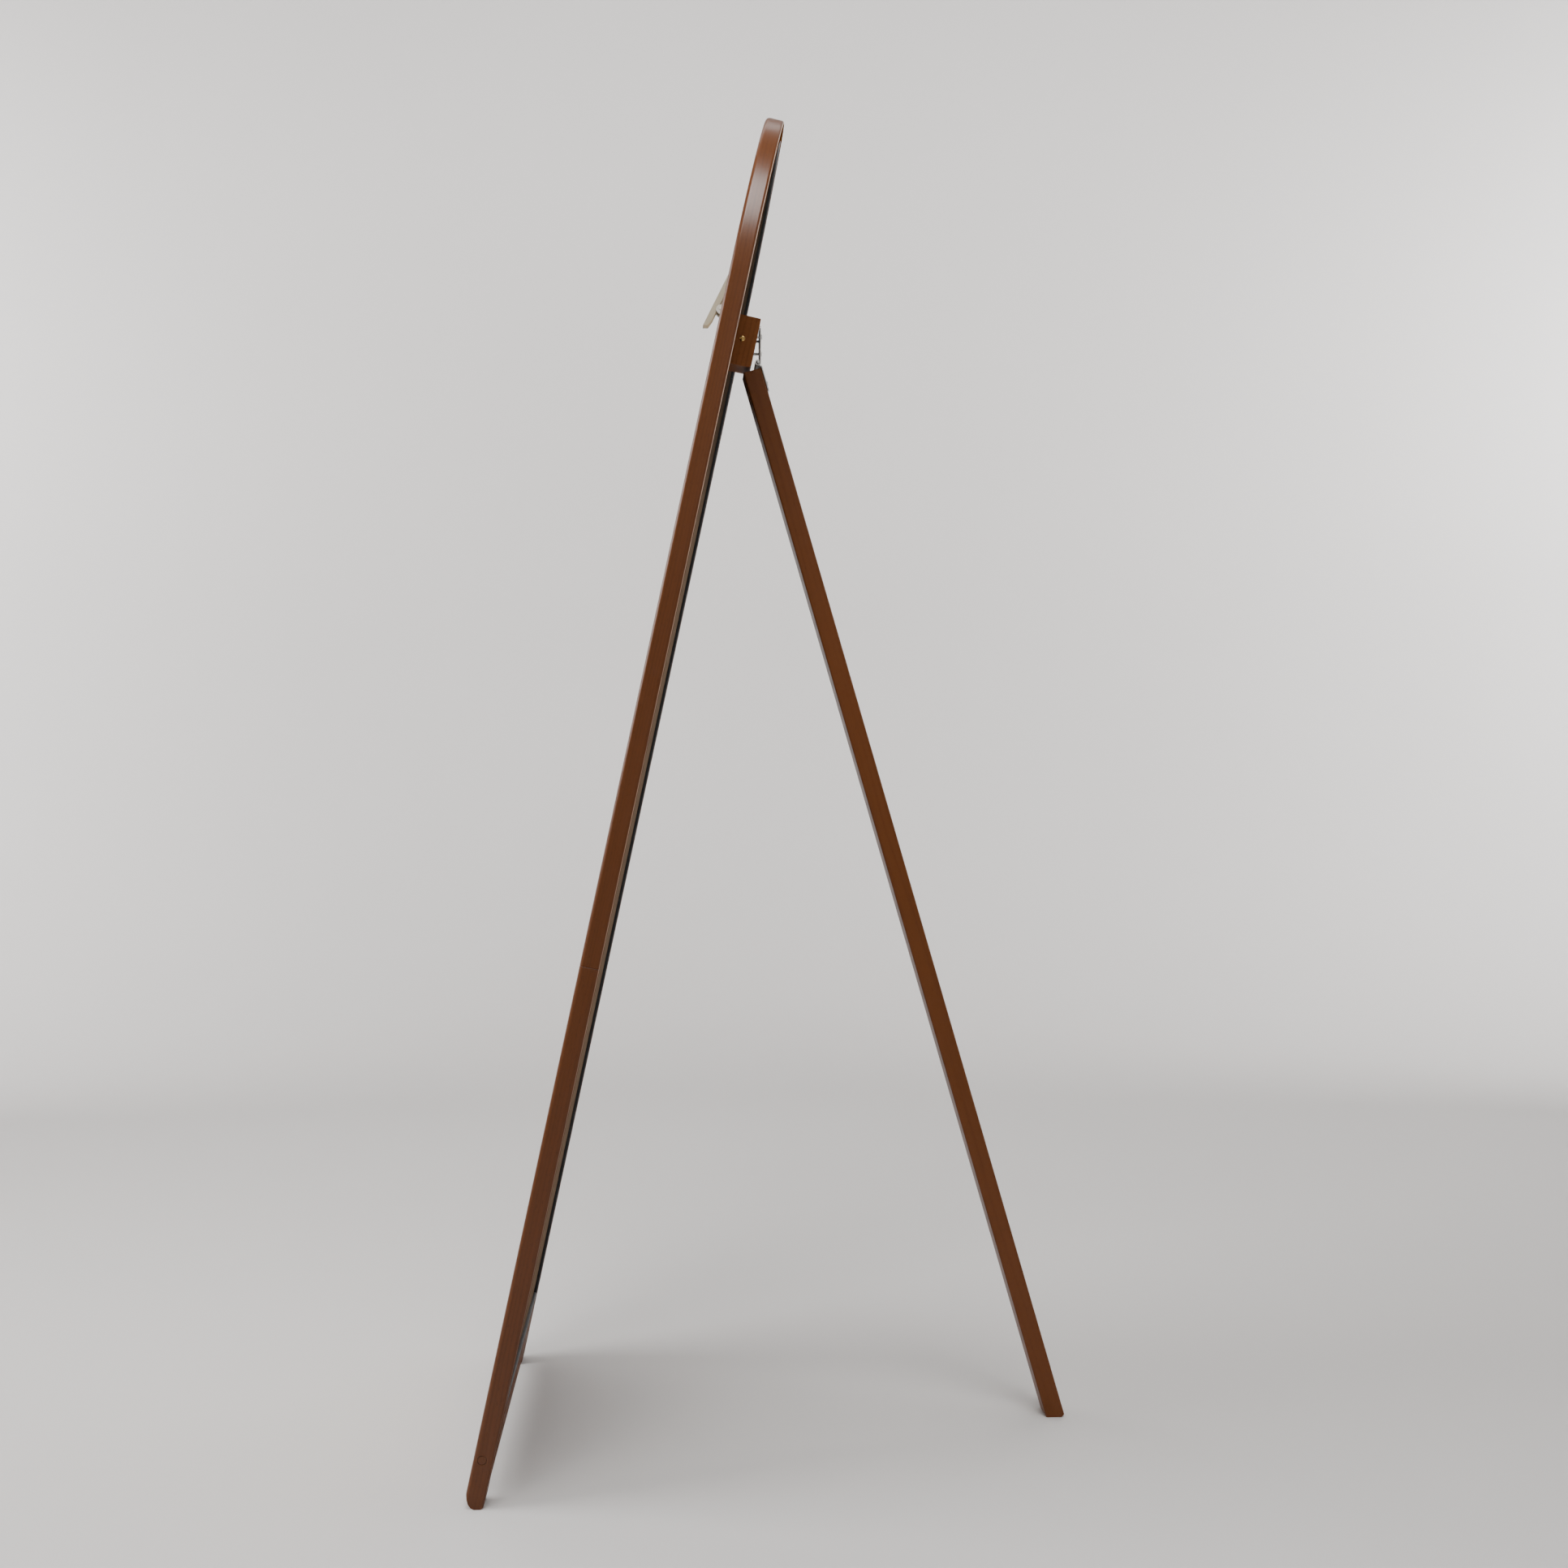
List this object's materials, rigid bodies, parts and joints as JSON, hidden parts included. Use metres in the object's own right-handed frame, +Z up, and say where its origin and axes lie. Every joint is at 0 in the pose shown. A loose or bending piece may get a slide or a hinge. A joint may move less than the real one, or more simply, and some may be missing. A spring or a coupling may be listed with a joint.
{
  "type": "wooden easel",
  "caption": "Round-topped wooden board easel that leans back on two feet and a single hinged prop leg, with a sprung peg on its front board.",
  "frame": {"origin": "centre of the easel's footprint on the floor, at rest with the prop leg open", "axes": "+Z up; +X across the width, to the right of someone who faces the front; +Y towards the rear, so the front faces -Y"},
  "size_m": [0.56, 0.7754, 1.7433],
  "materials": {
    "stained_wood": "reddish-brown stain under a satin lacquer, straight fine grain along each member",
    "raw_beech": "bare pale beech, seen only when the joints are taken apart",
    "birch_ply": "pale birch plywood, sanded and sealed matt",
    "hardboard": "raw brown-grey fibre board, matt",
    "black_stain": "black stained bead, matt",
    "plated_steel": "zinc-plated pressed steel, slightly dulled",
    "brass": "bright turned brass",
    "pale_wood": "pale beige sanded wood, matt"
  },
  "bodies": {
    "frame": {"arched_head": "stained_wood", "left_stile": "stained_wood", "right_stile": "stained_wood", "bottom_rail": "stained_wood", "splice_dowel_left": "raw_beech", "splice_dowel_right": "raw_beech", "rail_plug_left": "stained_wood", "rail_plug_right": "stained_wood", "rail_screw_left": "plated_steel", "rail_screw_right": "plated_steel", "rail_dowel_left": "raw_beech", "rail_dowel_right": "raw_beech", "drawing_board": "birch_ply", "back_board": "hardboard", "arch_bead": "black_stain", "left_bead": "black_stain", "right_bead": "black_stain", "foot_bead": "black_stain", "hinge_block": "stained_wood", "block_screw_lower_left": "plated_steel", "block_screw_lower_right": "plated_steel", "block_screw_upper_left": "plated_steel", "block_screw_upper_right": "plated_steel", "block_side_screw": "brass", "hinge_upper_leaf": "plated_steel", "hinge_pin": "plated_steel", "upper_leaf_screw_left": "plated_steel", "upper_leaf_screw_right": "plated_steel", "upper_leaf_screw_middle": "plated_steel", "peg_bracket": "plated_steel", "peg_pin": "plated_steel", "peg_spring": "plated_steel", "peg_screw_lower": "plated_steel", "peg_screw_upper": "plated_steel"},
    "prop_leg": {"prop_leg": "stained_wood", "hinge_lower_leaf": "plated_steel", "lower_leaf_screw_left": "plated_steel", "lower_leaf_screw_right": "plated_steel", "lower_leaf_screw_middle": "plated_steel"},
    "peg_lever": {"peg_lever": "pale_wood"}
  },
  "joints": [
    {"name": "leg_fold", "type": "hinge", "parent": "frame", "child": "prop_leg", "pos_m": [0, -0.02894, 1.42643], "axis": [-1, 0, 0], "range_deg": [0, 19]},
    {"name": "peg_squeeze", "type": "hinge", "parent": "frame", "child": "peg_lever", "pos_m": [0, -0.07904, 1.49995], "axis": [1, 0, 0], "range_deg": [0, 22], "stiffness_Nm_per_rad": 0.25, "springref_deg": -28.65}
  ]
}
